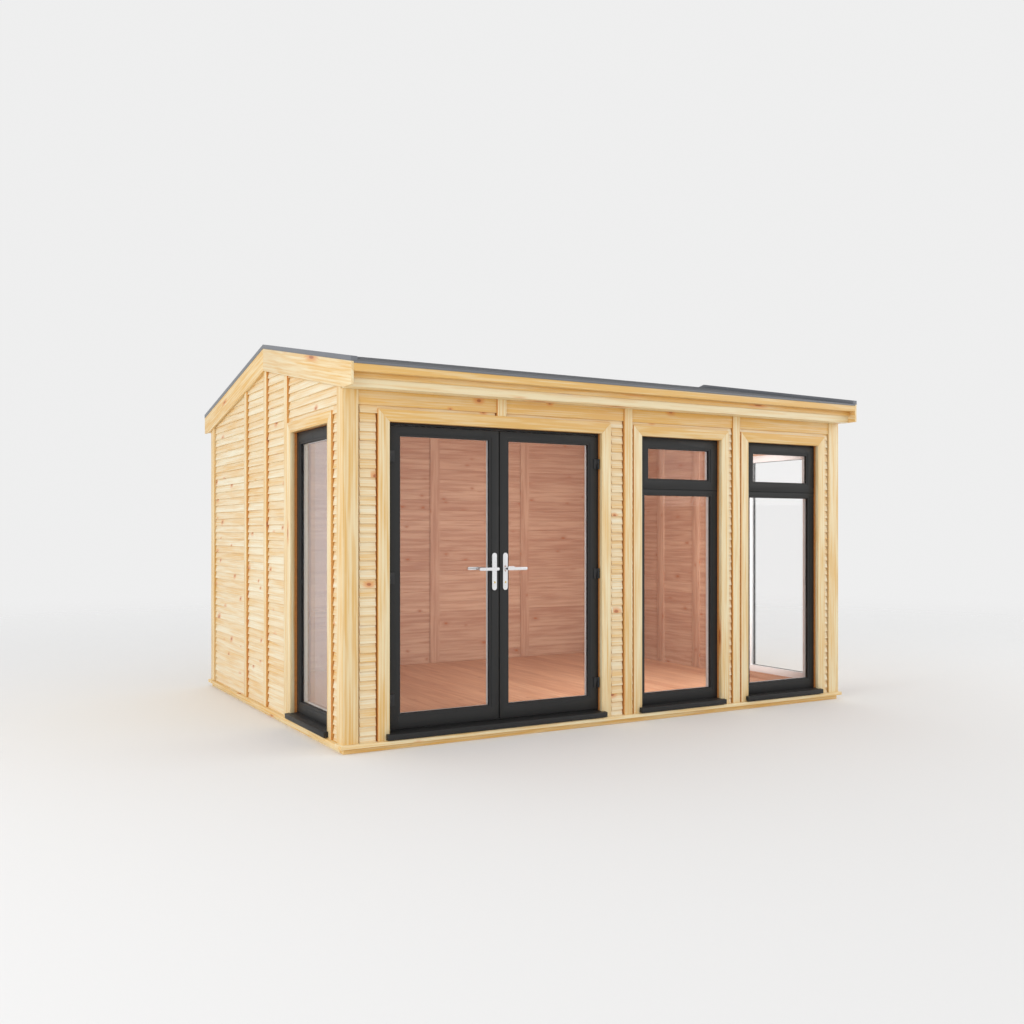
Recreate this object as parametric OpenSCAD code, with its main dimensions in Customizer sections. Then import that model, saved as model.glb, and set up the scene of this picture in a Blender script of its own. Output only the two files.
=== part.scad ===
// Timber garden office pod: apex roof, French doors on the front, two tall front
// windows with opening top lights and one tall window in each side wall.
// Lengths are millimetres. The origin is on the ground at the centre of the plan,
// +X runs to the right along the front, +Y runs to the back and +Z is up.

/* [Overall] */
// Width of the front, over the corner trims
wall_w = 3860; // [3860:10:4800]
// Depth from front to back, over the corner trims
wall_d = 2960; // [2700:10:3800]
// Height of the soffit above the ground
soffit_h = 2030; // [2000:5:2400]
// Slope of the roof in degrees
roof_pitch = 10.9; // [7:0.1:15]
// How far the bargeboards run past the front and the back
eave_out = 162; // [150:1:230]

/* [Base] */
// Height of the lower timber bearers
bearer_h = 30; // [20:1:60]
// Thickness of the deck that the walls stand on
deck_h = 22; // [16:1:40]
// How far the edge of the deck stands out past the corner trims
deck_out = 18; // [10:1:40]
// How far the bearers are set back from the edge of the deck
bearer_back = 26; // [15:1:60]
// Width of a bearer
bearer_w = 60; // [40:1:90]
// Largest distance between two bearers
bearer_gap = 310; // [250:10:340]
// Thickness of the floorboards
floor_t = 20; // [15:1:28]

/* [Walls] */
// Depth of the cladding, trims and battens outside the wall panels
clad_t = 28; // [20:1:40]
// Thickness of the wall panels
panel_t = 64; // [50:1:90]
// Thickness of the boards that line the room
lining_t = 12; // [8:1:18]
// How far each corner trim laps past the wall panel that meets it behind
corner_lap = 2; // [2:1:30]
// Width of the battens that divide the cladding
batten_w = 62; // [50:1:80]
// Distance between the middles of two battens on the back wall
back_bay = 923; // [850:1:1100]
// Distance from the middle of the side walls to the next batten
side_bay = 486; // [440:1:520]
// Width of the cover strips inside
strip_w = 94; // [60:1:110]
// How far the cover strips stand out past the lining
strip_proud = 10; // [5:1:16]

/* [Openings] */
// Height of the tops of the doors and windows above the ground
head_h = 1860; // [1700:5:1900]
// Distance from the left corner to the middle of the doorway
door_x = 1012; // [1000:1:1040]
// Width of the doorway between the architraves
door_w = 1460; // [1400:2:1480]
// Distances from the left corner to the middles of the two front windows
window_x1 = 2397; // [2390:1:2440]
// Middle of the second front window
window_x2 = 3318; // [3300:1:3330]
// Width of each window opening
window_w = 676; // [620:2:680]
// Distance from the front corner to the middle of the left side window
side_window_y = 591; // [560:1:620]
// The same for the window in the right wall, which is nearer to the front
right_window_y = 535; // [520:1:600]
// Width of the architrave round the doors
door_trim_w = 70; // [50:1:80]
// Width of the architraves round the windows
window_trim_w = 66; // [50:1:70]
// Gap between a window architrave and the batten beside it
batten_gap = 12; // [3:1:16]

/* [Frames] */
// How far the faces of the leaves and sashes lie behind the trims
sash_back = 36; // [30:1:44]
// How far the fixed frames lie behind the faces of the leaves and sashes
frame_step = 8; // [4:1:12]
// Width of the outer frame that shows beside a leaf or a sash
frame_edge = 13; // [10:1:20]
// Running gap round the leaves
leaf_gap = 5; // [5:0.5:8]
// Gap between the two leaves
meeting_gap = 7; // [7:0.5:10]
// Thickness of the leaves and sashes
leaf_t = 50; // [44:1:54]
// Width of the stiles of the leaves
stile_w = 64; // [60:1:85]
// Distance from the edge of a leaf to the middle of its lever
lever_edge = 34; // [30:1:40]
// Height of the top rails of the leaves
top_rail = 58; // [50:1:80]
// Height of the bottom rails of the leaves
bottom_rail = 87; // [70:1:120]
// Thickness of the glass units
glass_t = 24; // [20:1:28]
// How far the glass lies behind the face of a leaf or sash
glass_back = 12; // [8:1:16]
// Width of the window frames beside the glass
window_face = 56; // [50:1:75]
// Height of the bottom rail of the window frames
window_foot = 73; // [60:1:90]
// Height of the top rail of the side window frames
window_head = 76; // [60:1:90]
// Height of the top lights, over the sash
sash_h = 330; // [280:2:380]
// Height of the transom that shows under a top light
transom_h = 42; // [30:1:60]
// Width of the sash beside its glass
sash_face = 68; // [60:1:80]

/* [Sills] */
// Height of the sills
sill_h = 36; // [28:1:50]
// Gap between the deck and the underside of the sill noses
sill_drip = 6; // [4:1:12]
// How far the sill noses stand out past the trims
sill_out = 28; // [20:1:45]
// How far the sill noses run past each side of an opening
sill_end = 22; // [10:1:30]
// Fall of the top of the sills towards the nose
sill_fall = 6; // [2:1:8]

/* [Roof] */
// Height of the lower fascia board
fascia_h = 76; // [60:1:100]
// Height of the eave rail above the lower fascia
rail_h = 41; // [30:1:60]
// How far the lower fascia is set back behind the eave rail
fascia_back = 65; // [50:1:80]
// Thickness of the eave rail and fascia boards
board_t = 20; // [16:1:28]
// Thickness of the soffit boards
soffit_t = 12; // [9:1:18]
// Height of the roof surface above the eave rail
drip_h = 11; // [8:1:16]
// Depth of the bargeboards, measured upright
barge_h = 150; // [120:1:180]
// Thickness of the bargeboards
barge_t = 16; // [14:1:24]
// How far the bargeboards stand out past the corner trims
barge_out = 12; // [8:1:24]
// Upright thickness of the roof decks
roof_t = 45; // [36:1:60]
// Thickness of the roof covering
cover_t = 3; // [2:0.5:6]
// Height of the verge trims above the roof covering
verge_h = 26; // [15:1:40]
// Width of the verge trims
verge_w = 38; // [30:1:60]

/* [Hinges and handles] */
// Heights of the middles of the hinges above the ground
hinge_zs = [274, 969, 1666];
// Height of a hinge
hinge_h = 64; // [50:1:80]
// Radius of the hinge knuckles
knuckle_r = 7; // [6:0.5:8]
// Radius of the hinge pins
pin_r = 3.5; // [3:0.5:4]
// Distance from the edge of the doorway to the hinge axes
hinge_in = 11; // [11:0.5:13]
// Distance from the faces of the leaves forward to the hinge axes
hinge_fwd = 10; // [9.5:0.5:12]
// Width of the hinge flags on the leaves
flag_w = 22; // [16:1:35]
// Height of the door levers above the ground
lever_z = 1012; // [950:1:1080]
// Length of the door levers from their spindles
lever_l = 128; // [100:1:140]
// Distance from the plates to the middles of the levers
lever_off = 42; // [35:1:55]
// Width of the handle plates
plate_w = 32; // [28:1:40]
// Height of the handle plates
plate_h = 225; // [180:1:260]
// Thickness of the handle plates
plate_t = 9; // [6:1:12]
// Distance from the lever down to the lock cylinder
cylinder_drop = 82; // [70:1:92]

/* [Hidden] */
$fn = 48;
joint_gap = 1;
pin_gap = 0.3;
seat_gap = 0.1;
spindle_r = 4.5;
spindle_gap = 0.5;
flag_t = 5;
link_t = 6;
stop_w = 20;
stop_gap = 6;
stop_t = 12;
threshold_h = 5;
neck_r = 9;
neck_gap = 1;
lever_t = 11;
lever_h = 18;
lock_r = 8.5;
lock_out = 3;
plate_low = 17;

timber = "burlywood";
pale_timber = "wheat";
grey = "dimgray";
frame_grey = "darkslategray";
clear = "lightblue";
silver = "silver";

slope = tan(roof_pitch);
deck_z = bearer_h + deck_h;
floor_z = deck_z + floor_t;
panel_y = clad_t;
panel_in = clad_t + panel_t;
room_y = panel_in + lining_t;
corner_w = panel_in + corner_lap;
mid_d = wall_d / 2;

frame_y = sash_back + frame_step;
leaf_in = sash_back + leaf_t;
stop_y = leaf_in + stop_gap;
frame_in = max(stop_y + stop_t, room_y);
frame_z = deck_z + sill_drip + sill_h;

leaf_x0 = door_x - door_w / 2 + frame_edge + leaf_gap;
leaf_x1 = door_x - meeting_gap / 2;
leaf_z0 = frame_z + threshold_h + leaf_gap;
leaf_z1 = head_h - frame_edge - leaf_gap;
glass_x0 = leaf_x0 + stile_w;
glass_x1 = leaf_x1 - stile_w;
glass_z0 = leaf_z0 + bottom_rail;
glass_z1 = leaf_z1 - top_rail;
hinge_x = door_x - door_w / 2 + hinge_in;
hinge_y = sash_back - hinge_fwd;
lever_x = leaf_x1 - lever_edge;

sash_z1 = head_h - frame_edge;
sash_z0 = sash_z1 - sash_h;
light_z1 = sash_z0 - transom_h;
light_y = sash_back + frame_step + glass_back + 4;

eave_z = soffit_h + fascia_h;
rail_z = eave_z + rail_h;
roof_end = eave_out - board_t;
barge_in = barge_t - barge_out;

left_batten_x = window_x1 - window_w / 2 - window_trim_w - batten_gap - batten_w / 2;
right_batten_x = window_x2 - window_w / 2 - window_trim_w - batten_gap - batten_w / 2;
side_batten_y = side_window_y + window_w / 2 + window_trim_w + batten_gap / 4 + batten_w / 2;
side_studs = [mid_d, mid_d + side_bay];
back_studs = [for (i = [-1:1]) wall_w / 2 + i * back_bay];

// Heights over a point y behind the front trims, on the front slope
function roof_line(y) = rail_z + drip_h + (y + eave_out) * slope;
function deck_top(y) = roof_line(y) - cover_t;
function deck_under(y) = deck_top(y) - roof_t;
function below_deck(y) = deck_under(y) - seat_gap;
function barge_top(y) = roof_line(y) - 2;
function barge_under(y) = max(soffit_h, barge_top(y) - barge_h);
function below_barge(y) = barge_under(y) - seat_gap;
level_cut_y = (soffit_h + barge_h + 2 - rail_z - drip_h) / slope - eave_out;

// Places its children in the corner frame of one wall: x along the wall, y into it
module on_front() translate([-wall_w / 2, -wall_d / 2, 0]) children();
module on_left() on_front() mirror([1, -1, 0]) children();
module on_right() mirror([1, 0, 0]) on_left() children();
module on_back() mirror([0, 1, 0]) on_front() children();
module at_right() mirror([1, 0, 0]) children();
module at_back() mirror([0, 1, 0]) children();

// A box from one corner to the opposite one
module block(a, b) translate(a) cube(b - a);

// A bar along x with an outline of [y, z] points
module bar(x0, x1, outline)
    translate([x0, 0, 0]) rotate([90, 0, 90]) linear_extrude(x1 - x0) polygon(outline);

// A round rod along y
module rod(x, z, y0, y1, r)
    translate([x, y0, z]) rotate([-90, 0, 0]) cylinder(r = r, h = y1 - y0);

// ---- Base and floor ----

module base_frame() color(timber) on_front() {
    inset = bearer_back - deck_out;
    x1 = wall_w - inset;
    y1 = wall_d - inset;
    bays = ceil((x1 - inset - bearer_w) / (bearer_gap + bearer_w));
    step = (x1 - inset - bearer_w) / bays;
    for (y = [inset, y1 - bearer_w]) block([inset, y, 0], [x1, y + bearer_w, bearer_h]);
    for (i = [0:bays])
        block([inset + i * step, inset, 0], [inset + i * step + bearer_w, y1, bearer_h]);
}

module floor_deck() color(timber) on_front()
    block([-deck_out, -deck_out, bearer_h], [wall_w + deck_out, wall_d + deck_out, deck_z]);

module floor_boards() color(pale_timber) on_front()
    block([panel_in, panel_in, deck_z], [wall_w - panel_in, wall_d - panel_in, floor_z]);

// ---- Walls ----

module front_pier(x0, x1) color(timber) on_front()
    block([x0, panel_y, deck_z], [x1, panel_in, head_h]);

module front_pier_left() front_pier(panel_in, door_x - door_w / 2);
module front_pier_middle() front_pier(door_x + door_w / 2, window_x1 - window_w / 2);
module front_pier_right() front_pier(window_x1 + window_w / 2, window_x2 - window_w / 2);
module front_pier_corner() front_pier(window_x2 + window_w / 2, wall_w - panel_in);

module front_header() color(timber) on_front()
    bar(panel_in, wall_w - panel_in, [
        [panel_y, head_h], [panel_in, head_h],
        [panel_in, below_deck(panel_in)], [panel_y, below_deck(panel_y)]
    ]);

module back_wall() color(timber) at_back() on_front()
    bar(panel_in, wall_w - panel_in, [
        [panel_y, deck_z], [panel_in, deck_z],
        [panel_in, below_deck(panel_in)], [panel_y, below_deck(panel_y)]
    ]);

module side_wall(window_y) color(timber) on_front() difference() {
    bar(panel_y, panel_in, [
        [panel_y, deck_z], [wall_d - panel_y, deck_z], [wall_d - panel_y, below_deck(panel_y)],
        [mid_d, below_deck(mid_d)], [panel_y, below_deck(panel_y)]
    ]);
    block([0, window_y - window_w / 2, deck_z - 1], [room_y, window_y + window_w / 2, head_h]);
}

module left_wall() side_wall(side_window_y);
module right_wall() at_right() side_wall(right_window_y);

// ---- Trims, battens and strips ----

module corner_trim() on_front() {
    block([0, 0, deck_z], [corner_w, clad_t, soffit_h]);
    bar(0, clad_t, [
        [clad_t, deck_z], [corner_w, deck_z],
        [corner_w, below_barge(corner_w)], [clad_t, below_barge(clad_t)]
    ]);
    bar(0, clad_t, [[0, deck_z], [clad_t + 1, deck_z], [clad_t + 1, soffit_h], [0, soffit_h]]);
}

module corner_trims() color(pale_timber) {
    corner_trim();
    at_right() corner_trim();
    at_back() corner_trim();
    at_back() at_right() corner_trim();
}

// A batten on the front or back, between heights z0 and z1
module front_batten(x, z0, z1)
    block([x - batten_w / 2, 0, z0], [x + batten_w / 2, clad_t, z1]);

// A batten on a side wall, cut to the slope of the bargeboard
module side_batten(y) {
    y0 = y - batten_w / 2;
    y1 = y + batten_w / 2;
    peak = y0 < mid_d && y1 > mid_d ? [[mid_d, below_barge(mid_d)]] : [];
    bar(0, clad_t, concat(
        [[y0, deck_z], [y1, deck_z], [y1, below_barge(min(y1, wall_d - y1))]],
        peak,
        [[y0, below_barge(min(y0, wall_d - y0))]]
    ));
}

module wall_battens() color(pale_timber) {
    on_front() {
        front_batten(left_batten_x, deck_z, soffit_h);
        front_batten(right_batten_x, deck_z, soffit_h);
        front_batten(door_x, head_h + door_trim_w, soffit_h);
    }
    on_back() for (x = back_studs) front_batten(x, deck_z, soffit_h);
    for (y = concat([side_batten_y], side_studs)) {
        on_front() side_batten(y);
        at_right() on_front() side_batten(y);
    }
}

module inner_cover_strips() color(timber) {
    y0 = panel_in;
    y1 = room_y + strip_proud;
    on_back() for (x = back_studs)
        bar(x - strip_w / 2, x + strip_w / 2, [
            [y0, floor_z], [y1, floor_z], [y1, below_deck(y1)], [y0, below_deck(y0)]
        ]);
    for (y = side_studs) {
        on_left() inner_side_strip(y, y0, y1);
        on_right() inner_side_strip(y, y0, y1);
    }
}

module inner_side_strip(y, y0, y1) {
    a = y - strip_w / 2;
    b = y + strip_w / 2;
    lowest = min(below_deck(min(a, wall_d - a)), below_deck(min(b, wall_d - b)));
    block([a, y0, floor_z], [b, y1, lowest]);
}

// Two legs and a head round an opening
module architrave(x, w, trim) difference() {
    block([x - w / 2 - trim, 0, deck_z], [x + w / 2 + trim, clad_t, head_h + trim]);
    block([x - w / 2, -1, deck_z - 1], [x + w / 2, clad_t + 1, head_h]);
}

module architraves() color(pale_timber) {
    on_front() {
        architrave(door_x, door_w, door_trim_w);
        architrave(window_x1, window_w, window_trim_w);
        architrave(window_x2, window_w, window_trim_w);
    }
    on_left() architrave(side_window_y, window_w, window_trim_w);
    on_right() architrave(right_window_y, window_w, window_trim_w);
}

// ---- Sills ----

module sill(x, w) {
    z0 = deck_z + sill_drip;
    fall = sill_fall * sill_out / (sill_out + frame_y);
    bar(x - w / 2, x + w / 2, [
        [-1, z0], [0, z0], [0, deck_z], [panel_in, deck_z], [panel_in, frame_z],
        [frame_y, frame_z], [-1, frame_z - sill_fall + fall]
    ]);
    bar(x - w / 2 - sill_end, x + w / 2 + sill_end, [
        [-sill_out, z0], [0, z0], [0, frame_z - sill_fall + fall], [-sill_out, frame_z - sill_fall]
    ]);
}

module door_sill() color(frame_grey) on_front() sill(door_x, door_w);

module window_sills() color(frame_grey) {
    on_front() sill(window_x1, window_w);
    on_front() sill(window_x2, window_w);
    on_left() sill(side_window_y, window_w);
    on_right() sill(right_window_y, window_w);
}

// ---- Door frame ----

module door_frame() color(frame_grey) on_front() difference() {
    block([door_x - door_w / 2, frame_y, frame_z], [door_x + door_w / 2, frame_in, head_h]);
    inner = door_w / 2 - frame_edge;
    block([door_x - inner, 0, frame_z + threshold_h], [door_x + inner, stop_y, head_h - frame_edge]);
    block([door_x - inner + stop_w, 0, frame_z + threshold_h + stop_w],
          [door_x + inner - stop_w, frame_in + 1, head_h - frame_edge - stop_w]);
}

module frame_hinge(x, z) {
    difference() {
        union() {
            translate([x, hinge_y, z - hinge_h / 2]) cylinder(r = knuckle_r, h = hinge_h / 2 - joint_gap / 2);
            block([x - knuckle_r, hinge_y, z - hinge_h / 2], [x, frame_y, z - joint_gap / 2]);
        }
        translate([x, hinge_y, z - hinge_h]) cylinder(r = pin_r, h = hinge_h * 2);
    }
    translate([x, hinge_y, z - hinge_h / 2]) cylinder(r = pin_r, h = hinge_h - joint_gap);
}

module frame_hinges() color(grey) {
    for (z = hinge_zs) {
        on_front() frame_hinge(hinge_x, z);
        on_front() translate([2 * door_x, 0, 0]) mirror([1, 0, 0]) frame_hinge(hinge_x, z);
    }
}

// ---- Door leaves: drawn as the left leaf, and mirrored about the middle of the doorway ----

module as_right_leaf() translate([2 * door_x, 0, 0]) mirror([1, 0, 0]) children();

module leaf() difference() {
    block([leaf_x0, sash_back, leaf_z0], [leaf_x1, leaf_in, leaf_z1]);
    block([glass_x0, 0, glass_z0], [glass_x1, leaf_in + 1, glass_z1]);
    rod(lever_x, lever_z, 0, leaf_in + 1, spindle_r + spindle_gap);
}

module leaf_glass() {
    y0 = sash_back + glass_back;
    block([glass_x0, y0, glass_z0], [glass_x1, y0 + glass_t, glass_z1]);
}

module leaf_hinge(z) difference() {
    plate_x = hinge_x + knuckle_r + 3;
    union() {
        translate([hinge_x, hinge_y, z + joint_gap / 2])
            cylinder(r = knuckle_r, h = hinge_h / 2 - joint_gap / 2);
        block([hinge_x, sash_back - link_t, z + joint_gap / 2],
              [plate_x + 1, sash_back, z + hinge_h / 2]);
        block([plate_x, sash_back - flag_t, z - hinge_h / 2],
              [plate_x + flag_w, sash_back, z + hinge_h / 2]);
    }
    translate([hinge_x, hinge_y, z]) cylinder(r = pin_r + pin_gap, h = hinge_h);
}

// A plate with round ends on one face of a leaf, with the end of the lock cylinder
module handle_plate(y0, y1, lock_y) difference() {
    half = plate_w / 2;
    z0 = lever_z - plate_low - plate_h / 2 + half;
    z1 = lever_z - plate_low + plate_h / 2 - half;
    union() {
        block([lever_x - half, y0, z0], [lever_x + half, y1, z1]);
        rod(lever_x, z0, y0, y1, half);
        rod(lever_x, z1, y0, y1, half);
        rod(lever_x, lever_z - cylinder_drop, min(y0, lock_y), max(y1, lock_y), lock_r);
    }
    rod(lever_x, lever_z, y0 - 1, y1 + 1, spindle_r + spindle_gap);
}

module handle_plates() {
    handle_plate(sash_back - plate_t, sash_back, sash_back - plate_t - lock_out);
    handle_plate(leaf_in, leaf_in + plate_t, leaf_in + plate_t + lock_out);
}

// A neck and a bar at one end of the spindle, where y points away from the leaf
module lever_arm(y_face, out) {
    base = y_face + out * neck_gap;
    bar_y = y_face + out * lever_off;
    rod(lever_x, lever_z, min(base, bar_y), max(base, bar_y), neck_r);
    block([lever_x - lever_l + lever_h / 2, bar_y - lever_t / 2, lever_z - lever_h / 2],
          [lever_x, bar_y + lever_t / 2, lever_z + lever_h / 2]);
    for (x = [lever_x - lever_l + lever_h / 2, lever_x])
        rod(x, lever_z, bar_y - lever_t / 2, bar_y + lever_t / 2, lever_h / 2);
}

module lever() {
    rod(lever_x, lever_z, sash_back - plate_t - neck_gap - 1, leaf_in + plate_t + neck_gap + 1, spindle_r);
    lever_arm(sash_back - plate_t, -1);
    lever_arm(leaf_in + plate_t, 1);
}

module left_leaf() color(frame_grey) on_front() leaf();
module right_leaf() color(frame_grey) on_front() as_right_leaf() leaf();
module left_leaf_glass() color(clear) on_front() leaf_glass();
module right_leaf_glass() color(clear) on_front() as_right_leaf() leaf_glass();
module left_leaf_hinges() color(grey) on_front() for (z = hinge_zs) leaf_hinge(z);
module right_leaf_hinges() color(grey) on_front() as_right_leaf() for (z = hinge_zs) leaf_hinge(z);
module left_handle_plates() color(silver) on_front() handle_plates();
module right_handle_plates() color(silver) on_front() as_right_leaf() handle_plates();
module left_lever() color(silver) on_front() lever();
module right_lever() color(silver) on_front() as_right_leaf() lever();

// ---- Windows ----

// A fixed frame whose glass lies between heights z0 and z1
module fixed_frame(x, z0, z1) difference() {
    block([x - window_w / 2, frame_y, frame_z], [x + window_w / 2, frame_in, head_h]);
    block([x - window_w / 2 + window_face, 0, z0], [x + window_w / 2 - window_face, frame_in + 1, z1]);
}

// A front window frame: fixed below the transom, and rebated for a top light above it
module front_window_frame(x) difference() {
    half = window_w / 2 - frame_edge;
    fixed_frame(x, frame_z + window_foot, light_z1);
    block([x - half, 0, sash_z0], [x + half, leaf_in, sash_z1]);
    block([x - half + stop_w, 0, sash_z0 + stop_w], [x + half - stop_w, frame_in + 1, sash_z1 - stop_w]);
}

module front_window_frame_1() color(frame_grey) on_front() front_window_frame(window_x1);
module front_window_frame_2() color(frame_grey) on_front() front_window_frame(window_x2);

module side_window_frame(y) fixed_frame(y, frame_z + window_foot, head_h - window_head);
module left_window_frame() color(frame_grey) on_left() side_window_frame(side_window_y);
module right_window_frame() color(frame_grey) on_right() side_window_frame(right_window_y);

module top_sash(x) difference() {
    half = window_w / 2 - frame_edge;
    block([x - half, sash_back, sash_z0], [x + half, leaf_in, sash_z1]);
    block([x - half + sash_face, 0, sash_z0 + sash_face],
          [x + half - sash_face, leaf_in + 1, sash_z1 - sash_face + 4]);
}

module top_sashes() color(frame_grey) on_front() {
    top_sash(window_x1);
    top_sash(window_x2);
}

// One sheet of glass between the faces of its frame
module pane(x, face, z0, z1, y0)
    block([x - window_w / 2 + face, y0, z0], [x + window_w / 2 - face, y0 + glass_t, z1]);

module front_window_glass() color(clear) on_front() for (x = [window_x1, window_x2]) {
    pane(x, window_face, frame_z + window_foot, light_z1, light_y);
    pane(x, frame_edge + sash_face, sash_z0 + sash_face, sash_z1 - sash_face + 4, sash_back + glass_back);
}

module side_glass(y) pane(y, window_face, frame_z + window_foot, head_h - window_head, light_y);
module left_window_glass() color(clear) on_left() side_glass(side_window_y);
module right_window_glass() color(clear) on_right() side_glass(right_window_y);

// ---- Eaves and roof ----

// Boards along an eave, between the bargeboards
module along_eave(outline) on_front() bar(barge_in, wall_w - barge_in, outline);

module soffit() {
    y0 = -(eave_out - fascia_back) + board_t;
    along_eave([[y0, soffit_h], [panel_y, soffit_h], [panel_y, soffit_h + soffit_t], [y0, soffit_h + soffit_t]]);
}

module fascia() {
    y0 = -(eave_out - fascia_back);
    y1 = y0 + board_t;
    along_eave([[y0, soffit_h], [y1, soffit_h], [y1, below_deck(y1)], [y0, below_deck(y0)]]);
}

module eave_rail() {
    y1 = -(eave_out - fascia_back);
    along_eave([
        [-eave_out, eave_z], [y1, eave_z], [y1, below_deck(y1)],
        [-roof_end, below_deck(-roof_end)], [-roof_end, rail_z], [-eave_out, rail_z]
    ]);
}

module front_soffit() color(pale_timber) soffit();
module back_soffit() color(pale_timber) at_back() soffit();
module front_fascia() color(pale_timber) fascia();
module back_fascia() color(pale_timber) at_back() fascia();
module front_eave_rail() color(pale_timber) eave_rail();
module back_eave_rail() color(pale_timber) at_back() eave_rail();

module roof_deck()
    along_eave([
        [-roof_end, deck_under(-roof_end)], [mid_d, deck_under(mid_d)],
        [mid_d, deck_top(mid_d)], [-roof_end, deck_top(-roof_end)]
    ]);
module roof_deck_front() color(timber) roof_deck();
module roof_deck_back() color(timber) at_back() roof_deck();

module roof_covering() color(grey)
    along_eave([
        [-roof_end, deck_top(-roof_end)], [mid_d, deck_top(mid_d)],
        [wall_d + roof_end, deck_top(-roof_end)], [wall_d + roof_end, roof_line(-roof_end)],
        [mid_d, roof_line(mid_d)], [-roof_end, roof_line(-roof_end)]
    ]);

module eave_trim() {
    y0 = -eave_out - 3;
    along_eave([[y0, rail_z], [-roof_end, rail_z], [-roof_end, roof_line(-roof_end)], [y0, roof_line(y0)]]);
}
module eave_trims() color(grey) {
    eave_trim();
    at_back() eave_trim();
}

// The verge trim of one gable: its outer part stands on the bargeboards, its inner part on the covering
module verge_trim() on_front() {
    x0 = -barge_out - 2;
    bar(x0, barge_in, gable_band(-2, verge_h));
    bar(barge_in - 1, x0 + verge_w, gable_band(0, verge_h));
}
function gable_band(low, high) = [
    [-eave_out, roof_line(-eave_out) + low], [mid_d, roof_line(mid_d) + low],
    [wall_d + eave_out, roof_line(-eave_out) + low], [wall_d + eave_out, roof_line(-eave_out) + high],
    [mid_d, roof_line(mid_d) + high], [-eave_out, roof_line(-eave_out) + high]
];
module verge_trims() color(grey) {
    verge_trim();
    at_right() verge_trim();
}

// One bargeboard with the packing rail that holds it off the wall panel
module bargeboard() on_front() {
    apex_y = mid_d - joint_gap / 2;
    bar(-barge_out, barge_in, [
        [-eave_out, soffit_h], [level_cut_y, soffit_h], [apex_y, barge_under(apex_y)],
        [apex_y, barge_top(apex_y)], [-eave_out, barge_top(-eave_out)]
    ]);
    bar(barge_in - 1, clad_t, [
        [clad_t, barge_under(clad_t)], [apex_y, barge_under(apex_y)],
        [apex_y, below_deck(apex_y)], [clad_t, below_deck(clad_t)]
    ]);
}
module left_bargeboards() color(pale_timber) {
    bargeboard();
    at_back() bargeboard();
}
module right_bargeboards() color(pale_timber) at_right() left_bargeboards();

base_frame();
floor_deck();
floor_boards();
front_pier_left();
front_pier_middle();
front_pier_right();
front_pier_corner();
front_header();
back_wall();
left_wall();
right_wall();
corner_trims();
wall_battens();
inner_cover_strips();
architraves();
door_frame();
door_sill();
window_sills();
front_window_frame_1();
front_window_frame_2();
left_window_frame();
right_window_frame();
top_sashes();
front_window_glass();
left_window_glass();
right_window_glass();
front_soffit();
back_soffit();
front_fascia();
back_fascia();
front_eave_rail();
back_eave_rail();
roof_deck_front();
roof_deck_back();
roof_covering();
eave_trims();
verge_trims();
left_bargeboards();
right_bargeboards();
left_leaf();
left_leaf_glass();
left_leaf_hinges();
left_handle_plates();
left_lever();
right_leaf();
right_leaf_glass();
right_leaf_hinges();
right_handle_plates();
right_lever();
frame_hinges();
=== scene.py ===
import math
import random

import bmesh
import bpy
from bpy.props import FloatProperty, FloatVectorProperty, IntProperty, PointerProperty
from bpy.types import Operator, Panel, PropertyGroup
from mathutils import Matrix, Vector


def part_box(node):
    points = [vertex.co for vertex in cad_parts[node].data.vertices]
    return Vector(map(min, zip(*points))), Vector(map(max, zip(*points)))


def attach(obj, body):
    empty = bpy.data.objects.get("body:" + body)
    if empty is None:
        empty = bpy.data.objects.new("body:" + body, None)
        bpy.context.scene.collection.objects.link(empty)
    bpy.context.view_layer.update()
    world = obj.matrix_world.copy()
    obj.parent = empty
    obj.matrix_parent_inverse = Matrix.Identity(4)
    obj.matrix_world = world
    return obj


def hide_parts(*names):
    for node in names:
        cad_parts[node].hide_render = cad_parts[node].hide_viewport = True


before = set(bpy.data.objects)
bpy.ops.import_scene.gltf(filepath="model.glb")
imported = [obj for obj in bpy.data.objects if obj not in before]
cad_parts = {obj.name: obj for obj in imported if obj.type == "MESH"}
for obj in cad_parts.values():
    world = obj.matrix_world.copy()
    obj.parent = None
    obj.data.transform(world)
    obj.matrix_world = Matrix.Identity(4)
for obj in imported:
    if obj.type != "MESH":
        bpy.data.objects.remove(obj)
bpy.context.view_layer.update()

bl_info = {
    "name": "Garden Office Pod",
    "version": (1, 0, 0),
    "blender": (4, 5, 0),
    "location": "View3D > Sidebar > Garden Office",
    "description": "Boards, trims, frames and finishes of a timber garden office",
    "category": "Object",
}

# ---- Places taken from the frame ----

MM = 0.001
CORNER_LOW, CORNER_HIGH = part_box("corner_trims")
HALF_W, HALF_D = CORNER_HIGH.x, CORNER_HIGH.y
WALL_W, WALL_D = 2 * HALF_W, 2 * HALF_D
DECK_Z = CORNER_LOW.z
FLOOR_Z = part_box("floor_boards")[1].z
SOFFIT_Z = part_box("front_soffit")[0].z
CLAD_T = HALF_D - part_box("back_wall")[1].y
PANEL_IN = HALF_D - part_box("back_wall")[0].y
FRAME_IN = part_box("door_frame")[1].y + HALF_D
FRAME_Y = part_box("door_frame")[0].y + HALF_D
LEAF_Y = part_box("left_leaf")[0].y + HALF_D
LEAF_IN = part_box("left_leaf")[1].y + HALF_D
ROOM_Y = FRAME_IN
RIDGE_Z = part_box("roof_covering")[1].z
ROOF_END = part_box("roof_covering")[1].y - HALF_D
SLOPE = (RIDGE_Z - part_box("eave_trims")[1].z) / (HALF_D + ROOF_END)
DECK_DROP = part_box("eave_trims")[1].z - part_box("roof_deck_front")[0].z
BARGE_DROP = 152 * MM
SEAT_GAP = 0.1 * MM

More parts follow.
